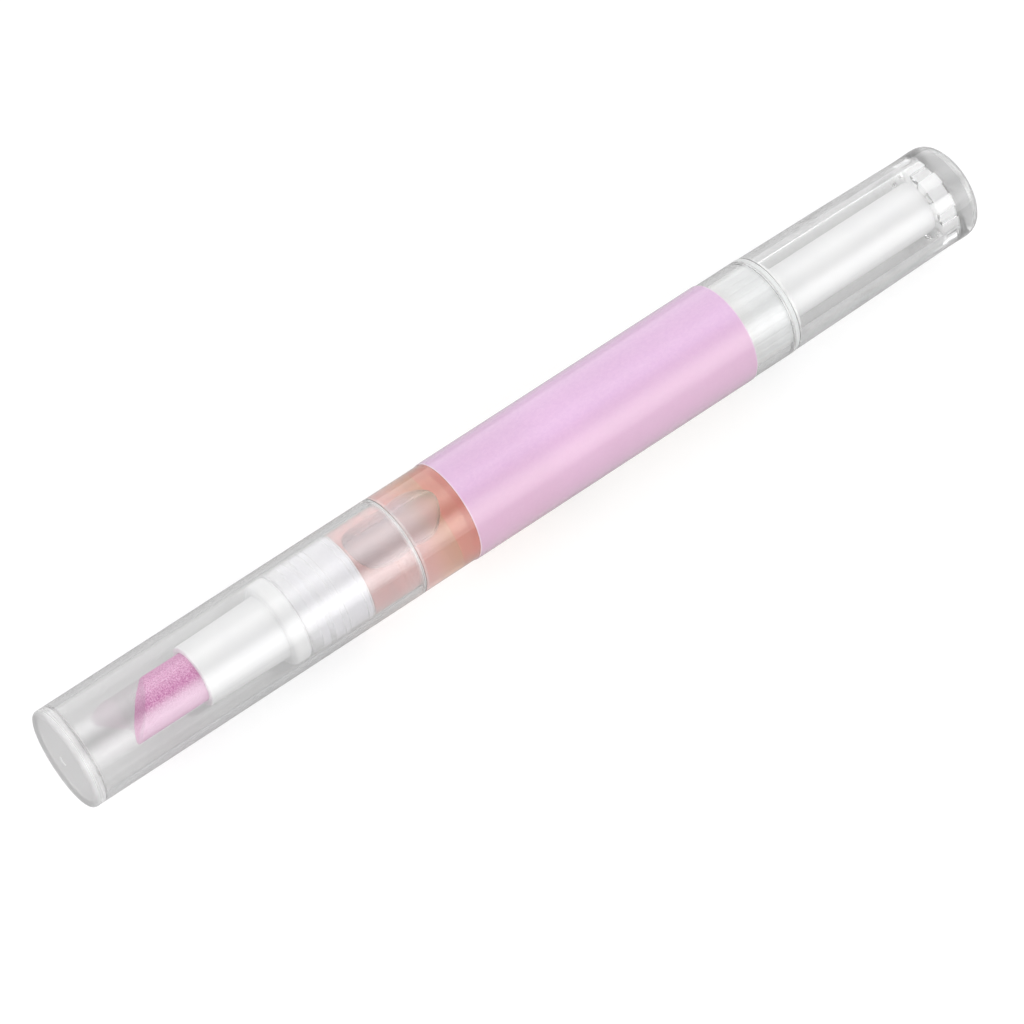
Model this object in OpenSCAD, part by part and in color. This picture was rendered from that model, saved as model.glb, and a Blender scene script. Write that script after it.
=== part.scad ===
// Twist-up nail oil pen, lying on its side: a clear cap over a felt nib, a clear
// barrel of oil with a printed sleeve, and a knob that screws a piston forward.
// Every piece is drawn along the pen's own axis, from the closed end of the cap
// at 0 to the end of the knob, and laid_down() puts it on the surface.

/* [Cap] */
// Length of the cap from its closed end to its open rim
cap_len = 45; // [42:0.1:48]
// Length by which the cap reaches over the front of the flange and what is behind it
cap_cover_len = 17.35; // [15.5:0.05:18]
// Outer radius of the cap at its closed end
cap_front_r = 6.15; // [5.9:0.05:6.4]
// Outer radius of the cap at its open rim
cap_rim_r = 6.28; // [6.15:0.01:6.4]
// Thickness of the cap's closed end
cap_end_t = 1.6; // [0.8:0.1:2]
// Rounding of the cap's closed end
cap_round_r = 0.5; // [0.3:0.1:1.2]
// Radius of the gate mark in the closed end
gate_r = 0.6; // [0.3:0.1:1]
// Depth of the gate mark
gate_depth = 0.15; // [0.05:0.05:0.3]
// Free space that the cap keeps round the flange of the nib holder
cap_flange_gap = 0.2; // [0.1:0.05:0.25]

/* [Nib and its holder] */
// Radius of the felt nib
nib_r = 3.05; // [2.6:0.05:3.2]
// Length by which the nib's long corner stands out of its holder
nib_reach = 9.15; // [7:0.05:10]
// Length by which the slanted cut sets the short corner back
nib_slant_len = 4.2; // [2:0.1:6]
// Turn of the nib's long corner round the pen, from straight down towards the front
nib_turn = 61.5; // [0:0.5:90]
// Radius of the stem that draws oil into the nib
stem_r = 1.6; // [1.2:0.1:1.9]
// Length of the holder from its mouth to its flange
nozzle_len = 10.5; // [9:0.05:11.5]
// Outer radius of the holder at its mouth
holder_mouth_r = 3.8; // [3.5:0.05:3.95]
// Outer radius of the holder where it meets its flange
holder_root_r = 4; // [3.95:0.05:4.5]
// Rounding of the holder's lip
holder_lip_r = 0.15; // [0.05:0.01:0.16]
// Radius of the flange
flange_r = 5.2; // [4.9:0.05:5.2]
// Thickness of the flange
flange_t = 2.1; // [1.3:0.1:2.5]
// Rounding of the flange's edge
flange_round_r = 0.55; // [0.2:0.05:0.6]
// Outer radius of the spigot behind the flange
spigot_r = 3.2; // [2.9:0.05:3.4]
// Length of the spigot behind the flange
spigot_len = 5.8; // [4:0.1:6.5]

/* [Seal plug] */
// Length of the plug
plug_len = 8.6; // [8:0.02:10]
// Length of the plug's slim front
plug_front_len = 1.5; // [1:0.1:2.5]
// Width of the plug's snap ring
plug_ring_w = 1.1; // [0.8:0.1:1.6]
// Width of the groove behind the snap ring
plug_groove_w = 0.6; // [0.3:0.1:1]
// Depth of that groove and of the slim front
plug_groove_depth = 0.32; // [0.15:0.01:0.5]
// Radius of the oil duct at the plug's rear
duct_r = 1.2; // [0.8:0.1:1.5]

/* [Barrel and sleeve] */
// Radius of the oil chamber
bore_r = 4.6; // [4.4:0.05:4.7]
// Radius of the neck that the cap covers
neck_r = 5.3; // [5.2:0.02:5.34]
// Height of the two beads that hold the cap
bead_h = 0.11; // [0.05:0.01:0.13]
// Width of a bead
bead_w = 0.5; // [0.3:0.05:0.8]
// Place of the first bead behind the neck's mouth
first_bead_setback = 4.7; // [2:0.1:5.5]
// Place of the second bead behind the neck's mouth
second_bead_setback = 7.9; // [6.5:0.1:10]
// Radius of the barrel behind the cap
barrel_front_r = 6.26; // [6.1:0.01:6.4]
// Radius of the barrel at its rear end
barrel_rear_r = 6.43; // [6.3:0.01:6.55]
// Length of the barrel behind the cap
barrel_body_len = 54.5; // [52:0.1:57]
// Radius of the seat for the drive nut
seat_r = 5.5; // [5.3:0.05:5.7]
// Depth of the seat for the drive nut
seat_depth = 6.4; // [6:0.1:7]
// Distance of the sleeve's front edge behind the barrel's shoulder
sleeve_setback = 7.5; // [3:0.1:12]
// Distance of the sleeve's rear edge from the barrel's rear end
sleeve_rear_setback = 6; // [4:0.1:12]
// Thickness of the sleeve's film
sleeve_t = 0.08; // [0.05:0.01:0.15]

/* [Piston and screw rod] */
// Length of the oil between the plug and the piston when the pen is full
oil_len = 25.87; // [25:0.01:29]
// Length of the piston
piston_len = 7; // [6:0.1:9]
// Width of each sealing lip
lip_w = 1.1; // [0.6:0.1:1.5]
// Depth of the waist between the lips
waist_depth = 0.5; // [0.2:0.05:0.8]
// Distance of the rod's rear end from the knob's end wall when the pen is full
rod_end_gap = 1; // [0.6:0.02:3]
// Radius of the rod under its thread
rod_root_r = 1.85; // [1.7:0.05:1.9]
// Radius of the rod over its thread
rod_crest_r = 2.3; // [2.2:0.02:2.32]
// Half of the rod's thickness between its flats
rod_flat_half = 1.45; // [1.3:0.05:1.6]
// Advance of the rod in one turn
lead = 2.5; // [2.2:0.1:3]
// Length of the threaded stretch at the rod's rear
thread_len = 34; // [33:0.5:36]
// Width of the thread at its root
thread_root_w = 1; // [0.7:0.05:1.1]
// Width of the thread at its crest
thread_crest_w = 0.55; // [0.4:0.05:0.7]
// Radius of the rod's snap head in the piston
head_r = 1.75; // [1.6:0.05:2]
// Length of the snap head
head_len = 1; // [0.6:0.1:1.4]
// Radius of the rod's neck in the piston
rod_neck_r = 1.25; // [1:0.05:1.4]
// Length of that neck
rod_neck_len = 1.6; // [1.2:0.1:2]

/* [Drive nut and click ring] */
// Length of the nut's threaded front wall
nut_wall = 2.6; // [2.2:0.1:2.8]
// Radius of the recess that holds the knob's snap bead
recess_r = 3.5; // [3.45:0.05:3.8]
// Length of that recess
recess_len = 1.2; // [1:0.05:1.3]
// Thickness of the lip that keeps the bead in
keeper_t = 0.8; // [0.5:0.05:0.9]
// Thickness of the nut's flange
nut_flange_t = 0.6; // [0.4:0.05:0.8]
// Count of ribs that grip the barrel
rib_count = 36; // [24:1:40]
// Width of a rib
rib_w = 0.35; // [0.2:0.05:0.5]
// Height of a rib
rib_h = 0.16; // [0.1:0.01:0.25]
// Count of click teeth
tooth_count = 16; // [10:1:20]
// Radius of the click teeth at their tips
tooth_tip_r = 4.35; // [4.3:0.02:4.45]
// Radius of the click teeth at their roots
tooth_root_r = 4.72; // [4.6:0.02:4.9]
// Tangential width of a thread lug in the nut
lug_w = 0.7; // [0.5:0.05:0.9]
// Height of a thread lug along the pen
lug_h = 0.9; // [0.6:0.05:1]
// Thickness of the click ring
click_t = 1.4; // [1:0.1:1.5]
// Radius of the click ring's hub
click_hub_r = 3.6; // [3.5:0.02:3.7]
// Thickness of a spring arm
arm_t = 0.28; // [0.2:0.02:0.34]
// Count of spring arms
arm_count = 3; // [2:1:4]
// Angle that a spring arm spans
arm_span = 78; // [50:1:85]
// Angle that the root and the tip of an arm span
arm_foot_span = 12; // [8:1:16]

/* [Knob] */
// Length of the clear knob
knob_len = 29; // [28:0.1:30]
// Radius of the knob at its front
knob_front_r = 6.38; // [6.2:0.01:6.45]
// Radius of the knob at its waist
knob_waist_r = 6.1; // [5.95:0.01:6.25]
// Distance of the waist from the knob's end
knob_waist_setback = 4.4; // [3.5:0.1:6]
// Radius of the knob at its swollen end
knob_end_r = 6.17; // [6.1:0.01:6.35]
// Rounding of the knob's end
knob_round_r = 1.7; // [1:0.1:2]
// Thickness of the knob's end wall
knob_end_t = 2.9; // [1.5:0.1:3.2]
// Radius of the clear knob's bore
knob_bore_r = 4.55; // [4.4:0.05:4.7]
// Radius of the white core inside the knob
core_r = 3.35; // [3.3:0.05:3.6]
// Thickness of the core's front collar
collar_t = 0.9; // [0.6:0.1:1.4]
// Radius of the core's neck in the drive nut
core_neck_r = 3.1; // [2.9:0.02:3.12]
// Height of the snap bead on the neck
core_bead_h = 0.3; // [0.2:0.02:0.32]
// Half of the neck's thickness between the flats that turn the click ring
neck_flat_half = 2.85; // [2.75:0.01:2.9]
// Length of the core's notched head
head_ring_len = 2.6; // [2:0.1:3.6]
// Count of notches in the head
notch_count = 10; // [6:1:11]
// Width of a notch
notch_w = 1.35; // [0.8:0.05:1.6]
// Depth of a notch
notch_depth = 0.6; // [0.3:0.05:1]
// Turn of the first notch round the pen, from straight down towards the front
notch_turn = 7.6; // [0:0.1:36]

/* [Hidden] */

// Smoothness of round shapes
round_steps = 96;
// Steps along one stretch of thread
thread_steps = 7;
// Clearance of a piece that is pressed, glued or snapped in
snug = 0.02;
// Radial clearance of a piece that turns or slides in another
running = 0.05;
// Clearance between end faces of pieces that turn or slide
end_gap = 0.2;
// Axial clearance of a snap head or bead in its recess
snap_gap = 0.12;
// Overrun of a cut past the face it opens
over = 0.5;
// Depth to which a thread or lug is rooted in its wall
rooted = 0.15;
// Setback of the thread's ends from the rod's flats
thread_inset = 0.04;
// Clearance of the rod's thread in the nut and in the core
thread_gap = 0.08;
// Clearance of a click tip from the teeth
tip_gap = 0.08;
// Share of a tooth's pitch over which its back rises from root to tip
tooth_rise_share = 0.96;

// Radii and places that follow from the sizes above
cap_bore_r = neck_r + bead_h + running;
cap_front_bore_r = flange_r + cap_flange_gap;
flange_place = cap_len - cap_cover_len;
holder_mouth_place = flange_place - nozzle_len;
nib_tip_place = holder_mouth_place - nib_reach;
flange_rear_place = flange_place + flange_t;
neck_place = flange_rear_place + snug;
plug_place = neck_place + snug;
plug_rear_place = plug_place + plug_len;
plug_r = bore_r - snug;
shoulder_place = cap_len + end_gap;
barrel_rear_place = shoulder_place + barrel_body_len;
holder_bore_r = nib_r + snug;
nib_rear_place = flange_place - flange_t / 2;
stem_rear_place = flange_rear_place + spigot_len / 2;
stem_bore_r = stem_r + snug;
spigot_rear_place = flange_rear_place + spigot_len;
sleeve_front_place = shoulder_place + sleeve_setback;
sleeve_rear_place = barrel_rear_place - sleeve_rear_setback;
sleeve_len = sleeve_rear_place - sleeve_front_place;
seat_place = barrel_rear_place - seat_depth;
oil_front_place = plug_rear_place + snug;
piston_place = oil_front_place + oil_len + snug;
piston_r = bore_r - running;
shaft_place = piston_place + piston_len + snap_gap;
rod_place = shaft_place - rod_neck_len - head_len;
nut_place = seat_place + snug;
nut_recess_place = nut_place + nut_wall;
keeper_place = nut_recess_place + recess_len;
cup_place = keeper_place + keeper_t;
nut_r = seat_r - snug;
nut_flange_place = barrel_rear_place + snug;
nut_rear_place = nut_flange_place + nut_flange_t;
nut_bore_r = rod_crest_r + thread_gap;
knob_place = nut_rear_place + end_gap;
knob_rear_place = knob_place + knob_len;
head_ring_r = knob_bore_r - snug;
head_ring_place = knob_rear_place - knob_end_t - snug - head_ring_len;
notch_floor_r = head_ring_r - notch_depth;
core_place = knob_place;
core_rear_place = knob_rear_place - knob_end_t - snug;
rod_rear_place = core_rear_place - rod_end_gap;
thread_place = rod_rear_place - thread_len;
core_bead_place = nut_recess_place + snap_gap;
core_bead_len = recess_len - snap_gap * 2;
core_bead_r = core_neck_r + core_bead_h;
keeper_r = core_neck_r + running;
click_place = cup_place + (nut_rear_place - cup_place - click_t) / 2;
click_tip_r = tooth_tip_r - tip_gap;
arm_outer_r = click_tip_r - tip_gap;
pen_len = knob_rear_place;
axis_height = barrel_r_at(sleeve_rear_place) + snug + sleeve_t;

// Barrel's outer radius at a place behind the cap, on its slight taper
function barrel_r_at(place) =
    barrel_front_r + (barrel_rear_r - barrel_front_r)
        * (place - shoulder_place) / (barrel_rear_place - shoulder_place);

// Cap's outer radius at a place, on its slight taper
function cap_r_at(place) = cap_front_r + (cap_rim_r - cap_front_r) * place / cap_len;

// Points of a quarter circle about centre c, from angle a to angle b
function arc_points(c, r, a, b, steps) =
    [for (i = [0:steps]) c + r * [cos(a + (b - a) * i / steps), sin(a + (b - a) * i / steps)]];

// Puts a piece that is drawn along the pen's axis on the surface, origin under its middle
module laid_down() {
    translate([-pen_len / 2, 0, axis_height]) rotate([0, 90, 0]) children();
}

// Solid disc or cylinder at a place along the pen
module bar(place, len, r) {
    translate([0, 0, place]) cylinder(r = r, h = len, $fn = round_steps);
}

// Tapered bar at a place along the pen
module taper(place, len, r_front, r_rear) {
    translate([0, 0, place]) cylinder(r1 = r_front, r2 = r_rear, h = len, $fn = round_steps);
}

// Outline with two flats, as on the rod and in what turns it
module double_flat(r, half) {
    intersection() {
        circle(r = r, $fn = round_steps);
        square([half * 2, r * 2 + over], center = true);
    }
}

// Clear cap: closed, rounded front end, straight bore that slides on the barrel's neck
module cap() {
    rounding = arc_points([cap_r_at(cap_round_r) - cap_round_r, cap_round_r], cap_round_r, 270, 360, 12);
    color([0.9, 0.91, 0.92, 0.35])
    laid_down()
    difference() {
        rotate_extrude($fn = round_steps)
            polygon(concat([[0, 0]], rounding, [[cap_rim_r, cap_len], [0, cap_len]]));
        bar(cap_end_t, flange_place - end_gap - cap_end_t, cap_front_bore_r);
        bar(flange_place - end_gap * 2, cap_len, cap_bore_r);
        bar(-over, over + gate_depth, gate_r);
    }
}

// Felt nib: round block with a slanted cut and a stem that reaches into the oil duct
module nib() {
    slant_angle = atan(nib_slant_len / (nib_r * 2));
    cut = nib_r * 4;
    color([0.86, 0.55, 0.80])
    laid_down()
    rotate([0, 0, -nib_turn]) {
        difference() {
            bar(nib_tip_place, nib_rear_place - nib_tip_place, nib_r);
            translate([nib_r, 0, nib_tip_place])
                rotate([0, slant_angle, 0])
                    translate([-cut, -cut / 2, -cut])
                        cube([cut * 2, cut, cut]);
        }
        bar(nib_rear_place - over, stem_rear_place - nib_rear_place + over, stem_r);
    }
}

// White nib holder: tapered nozzle, round flange and the spigot behind it
module nib_holder() {
    lip = arc_points([holder_mouth_r - holder_lip_r, holder_mouth_place + holder_lip_r],
        holder_lip_r, 270, 360, 6);
    front_round = arc_points([flange_r - flange_round_r, flange_place + flange_round_r],
        flange_round_r, 270, 360, 8);
    rear_round = arc_points([flange_r - flange_round_r, flange_rear_place - flange_round_r],
        flange_round_r, 0, 90, 8);
    color([0.96, 0.96, 0.97])
    laid_down()
    difference() {
        rotate_extrude($fn = round_steps)
            polygon(concat(
                [[0, holder_mouth_place]], lip,
                [[holder_root_r, flange_place]], front_round, rear_round,
                [[spigot_r, flange_rear_place], [spigot_r, spigot_rear_place], [0, spigot_rear_place]]));
        bar(holder_mouth_place - over, nib_rear_place + snug - holder_mouth_place + over, holder_bore_r);
        bar(holder_mouth_place, spigot_rear_place + over - holder_mouth_place, stem_bore_r);
    }
}

// White seal plug: pressed into the barrel's mouth, with a snap ring and an oil duct
module seal_plug() {
    ring_place = plug_place + plug_front_len;
    groove_place = ring_place + plug_ring_w;
    body_place = groove_place + plug_groove_w;
    slim_r = plug_r - plug_groove_depth;
    color([0.95, 0.95, 0.96])
    laid_down()
    difference() {
        union() {
            bar(plug_place, plug_len, slim_r);
            bar(ring_place, plug_ring_w, plug_r);
            bar(body_place, plug_rear_place - body_place, plug_r);
        }
        bar(plug_place - over, spigot_rear_place + snug - plug_place + over, spigot_r + snug);
        bar(plug_place, plug_len + over, duct_r);
    }
}

// Clear barrel: neck with two beads, tapered body, oil chamber and the nut's seat
module barrel() {
    color([0.93, 0.93, 0.94, 0.35])
    laid_down()
    difference() {
        union() {
            bar(neck_place, shoulder_place - neck_place + over, neck_r);
            for (setback = [first_bead_setback, second_bead_setback])
                bar(neck_place + setback - bead_w / 2, bead_w, neck_r + bead_h);
            taper(shoulder_place, barrel_rear_place - shoulder_place, barrel_front_r, barrel_rear_r);
        }
        bar(neck_place - over, barrel_rear_place - neck_place + over * 2, bore_r);
        bar(seat_place, seat_depth + over, seat_r);
    }
}

// Printed film sleeve, glued round the barrel
module label_sleeve() {
    front_r = barrel_r_at(sleeve_front_place) + snug;
    rear_r = barrel_r_at(sleeve_rear_place) + snug;
    slope = (rear_r - front_r) / sleeve_len;
    color([0.91, 0.78, 0.90])
    laid_down()
    difference() {
        taper(sleeve_front_place, sleeve_len, front_r + sleeve_t, rear_r + sleeve_t);
        taper(sleeve_front_place - over, sleeve_len + over * 2,
            front_r - slope * over, rear_r + slope * over);
    }
}

// Oil between the plug and the piston
module oil() {
    color([0.90, 0.50, 0.38, 0.7])
    laid_down() bar(oil_front_place, oil_len, bore_r - snug);
}

// Piston: two sealing lips, a waist, and a socket for the rod's snap head
module piston() {
    socket_place = rod_place - snap_gap;
    piston_rear_place = piston_place + piston_len;
    color([0.93, 0.93, 0.93])
    laid_down()
    difference() {
        union() {
            bar(piston_place, lip_w, piston_r);
            bar(piston_place, piston_len, piston_r - waist_depth);
            bar(piston_rear_place - lip_w, lip_w, piston_r);
        }
        bar(socket_place, head_len + snap_gap * 2, head_r + running);
        bar(socket_place, piston_rear_place - socket_place + over, rod_neck_r + running);
    }
}

// Angle from the rod's round side at which radius r meets the flats
function side_angle(r) = asin((rod_flat_half - thread_inset) / r);

// One stretch of thread on a round side: place is its middle, side is 90 or 270 degrees
module thread_stretch(place, side) {
    root = rod_root_r - rooted;
    profile = [[root, -thread_root_w / 2], [rod_crest_r, -thread_crest_w / 2],
        [rod_crest_r, thread_crest_w / 2], [root, thread_root_w / 2]];
    points = [for (i = [0:thread_steps]) for (p = profile)
        let (swing = side_angle(p[0]) * (2 * i / thread_steps - 1))
        [p[0] * cos(side + swing), p[0] * sin(side + swing), place + lead * swing / 360 + p[1]]];
    walls = [for (i = [0:thread_steps - 1]) for (k = [0:3])
        let (a = i * 4 + k, b = i * 4 + (k + 1) % 4, c = a + 4, d = b + 4)
        each [[a, d, c], [a, b, d]]];
    last = thread_steps * 4;
    ends = [[3, 2, 1], [3, 1, 0], [last, last + 1, last + 2], [last, last + 2, last + 3]];
    polyhedron(points = points, faces = concat(walls, ends), convexity = 4);
}

// Screw rod: snap head and neck in the piston, flat-sided shaft, thread at the rear
module screw_rod() {
    turns = floor((thread_len - thread_root_w) / lead);
    color([0.94, 0.94, 0.94])
    laid_down() {
        bar(rod_place, head_len, head_r);
        bar(rod_place, shaft_place - rod_place + over, rod_neck_r);
        translate([0, 0, shaft_place])
            linear_extrude(height = rod_rear_place - shaft_place)
                double_flat(rod_root_r, rod_flat_half);
        for (i = [0:turns - 1]) {
            thread_stretch(thread_place + thread_root_w + lead * (i + 1 / 4), 90);
            thread_stretch(thread_place + thread_root_w + lead * (i + 3 / 4), 270);
        }
    }
}

// Lug of the nut's thread, which sits midway between two turns of the rod's thread
module thread_lug(side) {
    inner = rod_root_r + thread_gap;
    reach = nut_bore_r + rooted - inner;
    first_groove = thread_place + thread_root_w + lead * (side / 360 - 1 / 2);
    last_place = nut_recess_place - snap_gap - lug_h / 2;
    groove = first_groove + lead * floor((last_place - first_groove) / lead);
    rotate([0, 0, side])
        translate([inner, -lug_w / 2, groove - lug_h / 2])
            cube([reach, lug_w, lug_h]);
}

// Saw-toothed outline of the cup that the click ring turns in
module toothed_outline() {
    step = 360 / tooth_count;
    polygon([for (i = [0:tooth_count - 1]) each [
        tooth_root_r * [cos(i * step), sin(i * step)],
        tooth_tip_r * [cos((i + tooth_rise_share) * step), sin((i + tooth_rise_share) * step)]]]);
}

// Drive nut: ribbed body in the barrel's seat, thread lugs, bead recess and toothed cup
module drive_nut() {
    color([0.93, 0.93, 0.94, 0.7])
    laid_down() {
        difference() {
            union() {
                bar(nut_place, nut_rear_place - nut_place, nut_r - rib_h);
                bar(nut_flange_place, nut_flange_t, barrel_rear_r);
                translate([0, 0, nut_place])
                    linear_extrude(height = nut_flange_place - nut_place)
                        for (i = [0:rib_count - 1])
                            rotate([0, 0, i * 360 / rib_count])
                                translate([nut_r - rib_h * 2, -rib_w / 2])
                                    square([rib_h * 2, rib_w]);
            }
            bar(nut_place - over, nut_rear_place - nut_place + over * 2, nut_bore_r);
            bar(nut_recess_place, recess_len, recess_r);
            bar(nut_recess_place, nut_rear_place - nut_recess_place + over, keeper_r);
            translate([0, 0, cup_place])
                linear_extrude(height = nut_rear_place - cup_place + over) toothed_outline();
        }
        thread_lug(0);
        thread_lug(180);
    }
}

// Ring-shaped wedge from angle 0 to a span, between two radii
module ring_wedge(r_inner, r_outer, span) {
    far = r_outer * 2;
    intersection() {
        difference() {
            circle(r = r_outer, $fn = round_steps);
            circle(r = r_inner, $fn = round_steps);
        }
        polygon([[0, 0], [far, 0], far * [cos(span / 2), sin(span / 2)], far * [cos(span), sin(span)]]);
    }
}

// Click ring: hub turned by the core's neck, spring arms whose tips run past the teeth
module click_ring() {
    color([0.90, 0.91, 0.92])
    laid_down()
    translate([0, 0, click_place])
        linear_extrude(height = click_t)
            difference() {
                union() {
                    circle(r = click_hub_r, $fn = round_steps);
                    for (i = [0:arm_count - 1])
                        rotate([0, 0, i * 360 / arm_count]) {
                            ring_wedge(arm_outer_r - arm_t, arm_outer_r, arm_span);
                            ring_wedge(core_neck_r + snug, arm_outer_r, arm_foot_span);
                            rotate([0, 0, arm_span - arm_foot_span / 2])
                                ring_wedge(arm_outer_r - arm_t, click_tip_r, arm_foot_span / 2);
                        }
                }
                double_flat(core_neck_r + snug, neck_flat_half + snug);
            }
}

// White knob core: snap neck in the nut, flat-sided bore for the rod, collar and notched head
module knob_core() {
    neck_len = core_place - core_bead_place;
    color([0.97, 0.97, 0.97])
    laid_down()
    difference() {
        union() {
            bar(core_place, core_rear_place - core_place, core_r);
            bar(core_place, collar_t, head_ring_r);
            bar(head_ring_place, head_ring_len, head_ring_r);
            bar(core_bead_place, core_bead_len, core_bead_r);
            bar(core_bead_place, click_place - snug - core_bead_place, core_neck_r);
            translate([0, 0, core_bead_place])
                linear_extrude(height = neck_len + over)
                    double_flat(core_neck_r, neck_flat_half);
        }
        translate([0, 0, core_bead_place - over])
            linear_extrude(height = core_rear_place - core_bead_place + over * 2)
                double_flat(rod_crest_r + thread_gap, rod_flat_half + thread_gap);
        for (i = [0:notch_count - 1])
            rotate([0, 0, i * 360 / notch_count - notch_turn])
                translate([notch_floor_r, -notch_w / 2, head_ring_place - over])
                    cube([head_ring_r, notch_w, head_ring_len + over * 2]);
    }
}

// Clear knob: waisted shell with a closed, rounded end and keys that fill the core's notches
module knob_shell() {
    waist_place = knob_rear_place - knob_waist_setback;
    swell_place = knob_rear_place - knob_round_r;
    rounding = arc_points([knob_end_r - knob_round_r, swell_place], knob_round_r, 0, 90, 12);
    key_w = notch_w - snug * 2;
    key_len = head_ring_len - snug * 2;
    color([0.95, 0.95, 0.96, 0.3])
    laid_down() {
        difference() {
            rotate_extrude($fn = round_steps)
                polygon(concat([[0, knob_place], [knob_front_r, knob_place], [knob_waist_r, waist_place]],
                    rounding, [[0, knob_rear_place]]));
            bar(knob_place - over, knob_len - knob_end_t + over, knob_bore_r);
        }
        intersection() {
            bar(core_rear_place - key_len, key_len + over, knob_bore_r + rooted);
            union()
                for (i = [0:notch_count - 1])
                    rotate([0, 0, i * 360 / notch_count - notch_turn])
                        translate([notch_floor_r + snug, -key_w / 2, core_rear_place - key_len])
                            cube([head_ring_r, key_w, key_len + over]);
        }
    }
}

cap();
nib();
nib_holder();
seal_plug();
barrel();
label_sleeve();
oil();
piston();
screw_rod();
drive_nut();
click_ring();
knob_core();
knob_shell();
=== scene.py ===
import bpy
import numpy as np
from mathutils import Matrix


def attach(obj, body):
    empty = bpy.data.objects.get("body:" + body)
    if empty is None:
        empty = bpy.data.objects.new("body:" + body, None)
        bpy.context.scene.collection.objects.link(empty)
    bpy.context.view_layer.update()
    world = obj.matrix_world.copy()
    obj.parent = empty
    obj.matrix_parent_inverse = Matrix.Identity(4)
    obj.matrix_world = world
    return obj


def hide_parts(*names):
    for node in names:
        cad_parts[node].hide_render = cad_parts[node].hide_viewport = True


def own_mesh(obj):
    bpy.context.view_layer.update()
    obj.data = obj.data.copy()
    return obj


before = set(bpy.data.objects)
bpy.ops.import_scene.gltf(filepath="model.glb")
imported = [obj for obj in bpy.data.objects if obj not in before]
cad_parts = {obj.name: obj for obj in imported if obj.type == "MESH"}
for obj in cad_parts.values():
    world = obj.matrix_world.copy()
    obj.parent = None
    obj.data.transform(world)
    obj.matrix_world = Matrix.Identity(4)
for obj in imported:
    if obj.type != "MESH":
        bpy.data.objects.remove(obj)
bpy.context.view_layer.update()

# BARREL
# The clear tube that everything else is put into: a neck with two beads for the cap,
# and a body that widens a little towards the rear. Moulded in one shot from clear
# styrene, polished mould, so it is glossy and bends light like glass.

pen_middle = 64.76       # mm from the cap's closed end, the frame's x = 0
axis_height = 0.006511   # m, the pen's axis over the surface it lies on


def skin(name, grid, hollow=False, crease=32):
    """Mesh of a grid of points in mm: place along the pen, sideways, and up from the pen's
    axis. Rows follow each other along the profile, columns run round the pen and close on
    themselves, and the rows of a hollow piece do too. A row whose points are all the same
    becomes one shared point. Edges that bend by more than crease degrees stay sharp."""
    rows, steps = grid.shape[:2]
    single = np.ptp(grid, axis=1).max(axis=1) < 1e-7
    count = np.where(single, 1, steps)
    column = np.arange(steps)
    index = (np.cumsum(count) - count)[:, None] + np.where(single[:, None], 0, column)
    points = grid[~single[:, None] | (column == 0)] / 1000
    points += (-pen_middle / 1000, 0, axis_height)
    near = index if hollow else index[:-1]
    far = np.roll(index, -1, 0) if hollow else index[1:]
    quads = np.stack([near, far, np.roll(far, -1, 1), np.roll(near, -1, 1)], -1).reshape(-1, 4)
    from_point = quads[:, 0] == quads[:, 3]
    to_point = quads[:, 1] == quads[:, 2]
    faces = quads[~from_point & ~to_point].tolist()
    faces += quads[from_point & ~to_point][:, [0, 1, 2]].tolist()
    faces += quads[to_point & ~from_point][:, [0, 1, 3]].tolist()
    mesh = bpy.data.meshes.new(name)
    mesh.from_pydata(points.tolist(), [], faces)
    mesh.polygons.foreach_set("use_smooth", np.ones(len(mesh.polygons), bool))
    mesh.set_sharp_from_angle(angle=np.radians(crease))
    piece = bpy.data.objects.new(name, mesh)
    bpy.context.scene.collection.objects.link(piece)
    return piece


def ring_rows(places, radii, angles):
    """Grid of points round the pen: (place, radius times sine, radius times cosine of the
    angle). Places are one per row, radii one per row or per point, angles one per column."""
    radii = np.asarray(radii, float)
    radii = radii[:, None] if radii.ndim == 1 else radii
    y, z = radii * np.sin(angles), radii * np.cos(angles)
    return np.stack([np.broadcast_to(np.asarray(places, float)[:, None], y.shape), y, z], -1)


def softened(corners, bend=6):
    """Profile of (place, radius) points from corners of (place, radius, rounding). A rounded
    corner is a circular arc: the mean of the point on the side before it, the corner and the
    point on the side after it, weighted (1-t)^2, 2wt(1-t) and t^2, with w the sine of half
    the corner's inner angle. One more point on each side keeps the flats' shading flat."""
    corners = np.asarray(corners, float)
    point, size = corners[:, None, :2], corners[:, None, 2:]
    before = np.roll(point, 1, 0) - point
    after = np.roll(point, -1, 0) - point
    before /= np.linalg.norm(before, axis=-1, keepdims=True)
    after /= np.linalg.norm(after, axis=-1, keepdims=True)
    w = np.sqrt((1 - (before * after).sum(-1, keepdims=True)) / 2)
    t = np.linspace(0, 1, bend)[None, :, None]
    a, b, c = (1 - t) ** 2, 2 * w * t * (1 - t), t ** 2
    start, end = point + size * before, point + size * after
    arc = (a * start + b * point + c * end) / (a + b + c)
    row = np.concatenate([point + size * before * 1.4, arc, point + size * after * 1.4], 1)
    keep = (size[..., 0] > 0) | (np.arange(bend + 2) == 0)
    return row[keep]


def turned(name, corners, hollow=False, steps=192):
    """Surface of revolution: the softened profile carried round the pen's axis."""
    profile = softened(corners)
    angles = np.linspace(0, 2 * np.pi, steps, endpoint=False)
    return skin(name, ring_rows(profile[:, 0], profile[:, 1], angles), hollow)


def paint(red, green, blue, alpha=1.0):
    """Colour written as on a screen, 0 to 255, made linear: ((c + 0.055) / 1.055) ^ 2.4."""
    c = np.array([red, green, blue]) / 255
    return (*np.where(c < 0.04045, c / 12.92, ((c + 0.055) / 1.055) ** 2.4).tolist(), alpha)


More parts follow.
